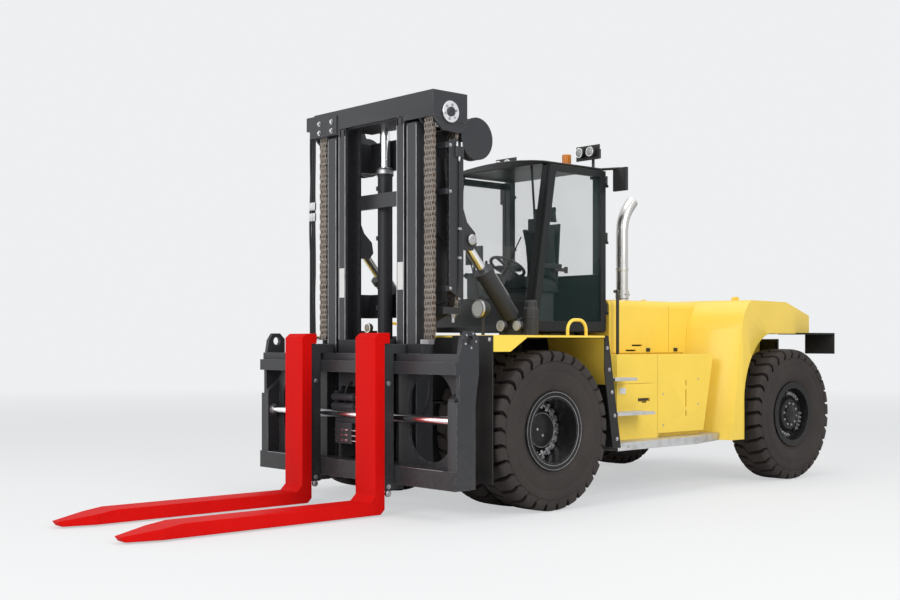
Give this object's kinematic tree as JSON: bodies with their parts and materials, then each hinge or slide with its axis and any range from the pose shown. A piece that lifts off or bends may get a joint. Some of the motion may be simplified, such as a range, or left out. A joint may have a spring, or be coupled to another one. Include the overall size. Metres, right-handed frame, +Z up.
{
  "type": "forklift truck",
  "caption": "Heavy counterbalance forklift truck with twin drive tyres, two-stage chain mast, side-shifting red forks, closed cab and steered rear wheels.",
  "frame": {"origin": "middle of the truck's footprint box, on the floor", "axes": "+X forward along the forks, +Y to the truck's left, +Z up"},
  "size_m": [8.93, 3.06, 3.89],
  "materials": {
    "body_yellow": "satin",
    "mast_dark": "satin",
    "fork_red": "satin",
    "tyre_rubber": "matte",
    "wheel_black": "satin",
    "rod_chrome": "polished",
    "chain_steel": "satin",
    "axle_iron": "rough",
    "step_grating": "satin",
    "cab_black": "satin",
    "window_tint": "clear",
    "stack_steel": "polished",
    "trim_black": "matte",
    "seat_cloth": "matte",
    "hose_rubber": "matte",
    "guard_rubber": "matte",
    "lamp_clear": "clear",
    "beacon_amber": "gloss"
  },
  "bodies": {
    "chassis": {"chassis_frame": "mast_dark", "drive_axle": "axle_iron", "steer_axle": "axle_iron", "engine_block": "axle_iron", "front_fender_left": "body_yellow", "front_fender_right": "body_yellow", "mudguards": "guard_rubber", "side_box_left": "body_yellow", "side_box_right": "body_yellow", "running_boards": "step_grating", "hood": "body_yellow", "exhaust_stack": "stack_steel", "counterweight": "body_yellow", "rear_grille": "trim_black", "cab_base": "cab_black", "cab_posts": "cab_black", "cab_roof": "cab_black", "cab_glass": "window_tint", "operator_seat": "seat_cloth", "cab_console": "trim_black", "tilt_clevises": "mast_dark", "lamp_housings": "trim_black", "lamp_lenses": "lamp_clear", "beacon": "beacon_amber", "mirrors": "trim_black", "grab_rails": "trim_black"},
    "outer_mast": {"outer_mast": "mast_dark", "lift_barrels": "mast_dark", "chain_rear_runs": "chain_steel"},
    "inner_mast": {"inner_mast": "mast_dark", "lift_rods": "rod_chrome", "chain_sheaves": "chain_steel", "chain_front_runs": "chain_steel", "mast_hoses": "hose_rubber"},
    "carriage": {"carriage_frame": "mast_dark", "guide_shaft": "rod_chrome"},
    "fork_left": {"fork_left": "fork_red", "fork_carrier_left": "mast_dark"},
    "fork_right": {"fork_right": "fork_red", "fork_carrier_right": "mast_dark"},
    "drive_wheels_left": {"drive_tyres_left": "tyre_rubber", "drive_wheel_left": "wheel_black"},
    "drive_wheels_right": {"drive_tyres_right": "tyre_rubber", "drive_wheel_right": "wheel_black"},
    "knuckle_left": {"knuckle_left": "axle_iron"},
    "knuckle_right": {"knuckle_right": "axle_iron"},
    "steer_wheel_left": {"steer_tyre_left": "tyre_rubber", "steer_wheel_left": "wheel_black"},
    "steer_wheel_right": {"steer_tyre_right": "tyre_rubber", "steer_wheel_right": "wheel_black"},
    "tilt_barrel_left": {"tilt_barrel_left": "mast_dark"},
    "tilt_barrel_right": {"tilt_barrel_right": "mast_dark"},
    "tilt_rod_left": {"tilt_rod_left": "rod_chrome"},
    "tilt_rod_right": {"tilt_rod_right": "rod_chrome"},
    "door_left": {"cab_door_left": "cab_black", "door_glass_left": "window_tint"},
    "door_right": {"cab_door_right": "cab_black", "door_glass_right": "window_tint"}
  },
  "joints": [
    {"name": "mast_tilt", "type": "hinge", "parent": "chassis", "child": "outer_mast", "pos_m": [0.955, 0, 0.7], "axis": [0, 1, 0], "range_deg": [-10, 15]},
    {"name": "mast_lift", "type": "slide", "parent": "outer_mast", "child": "inner_mast", "axis": [0, 0, 1], "range_m": [0, 2], "deforming": ["chain_rear_runs"]},
    {"name": "carriage_lift", "type": "slide", "parent": "inner_mast", "child": "carriage", "axis": [0, 0, 1], "range_m": [0, 2], "deforming": ["chain_front_runs", "mast_hoses"]},
    {"name": "fork_left_shift", "type": "slide", "parent": "carriage", "child": "fork_left", "axis": [0, 1, 0], "range_m": [-0.36, 0.74]},
    {"name": "fork_right_shift", "type": "slide", "parent": "carriage", "child": "fork_right", "axis": [0, -1, 0], "range_m": [-0.36, 0.74]},
    {"name": "drive_left_spin", "type": "hinge", "parent": "chassis", "child": "drive_wheels_left", "pos_m": [0.535, 1.1, 0.75], "axis": [0, 1, 0], "continuous": true},
    {"name": "drive_right_spin", "type": "hinge", "parent": "chassis", "child": "drive_wheels_right", "pos_m": [0.535, -1.1, 0.75], "axis": [0, 1, 0], "continuous": true},
    {"name": "steer_left", "type": "hinge", "parent": "chassis", "child": "knuckle_left", "pos_m": [-3.545, 1.03, 0.75], "axis": [0, 0, 1], "range_deg": [-55, 55]},
    {"name": "steer_right", "type": "hinge", "parent": "chassis", "child": "knuckle_right", "pos_m": [-3.545, -1.03, 0.75], "axis": [0, 0, 1], "range_deg": [-55, 55]},
    {"name": "steer_left_spin", "type": "hinge", "parent": "knuckle_left", "child": "steer_wheel_left", "pos_m": [-3.545, 1.24, 0.75], "axis": [0, 1, 0], "continuous": true},
    {"name": "steer_right_spin", "type": "hinge", "parent": "knuckle_right", "child": "steer_wheel_right", "pos_m": [-3.545, -1.24, 0.75], "axis": [0, 1, 0], "continuous": true},
    {"name": "tilt_left_swing", "type": "hinge", "parent": "chassis", "child": "tilt_barrel_left", "pos_m": [0.315, 0.795, 1.74], "axis": [0, 1, 0], "range_deg": [-12.61, 18.9]},
    {"name": "tilt_left_stroke", "type": "slide", "parent": "tilt_barrel_left", "child": "tilt_rod_left", "axis": [0.6585, 0, 0.7526], "range_m": [-0.2071, 0.3102]},
    {"name": "tilt_right_swing", "type": "hinge", "parent": "chassis", "child": "tilt_barrel_right", "pos_m": [0.315, -0.795, 1.74], "axis": [0, 1, 0], "range_deg": [-12.61, 18.9]},
    {"name": "tilt_right_stroke", "type": "slide", "parent": "tilt_barrel_right", "child": "tilt_rod_right", "axis": [0.6585, 0, 0.7526], "range_m": [-0.2071, 0.3102]},
    {"name": "door_left_swing", "type": "hinge", "parent": "chassis", "child": "door_left", "pos_m": [-1.087, 0.725, 2.6], "axis": [0, 0, 1], "range_deg": [0, 80]},
    {"name": "door_right_swing", "type": "hinge", "parent": "chassis", "child": "door_right", "pos_m": [-1.087, -0.725, 2.6], "axis": [0, 0, -1], "range_deg": [0, 80]}
  ],
  "couplings": [
    {"joint": "carriage_lift", "follows": "mast_lift", "ratio": 1},
    {"joint": "steer_right", "follows": "steer_left", "ratio": 1},
    {"joint": "tilt_left_swing", "follows": "mast_tilt", "ratio": 1.2564},
    {"joint": "tilt_left_stroke", "follows": "mast_tilt", "m_per_rad": 1.1811},
    {"joint": "tilt_right_swing", "follows": "mast_tilt", "ratio": 1.2564},
    {"joint": "tilt_right_stroke", "follows": "mast_tilt", "m_per_rad": 1.1811}
  ]
}
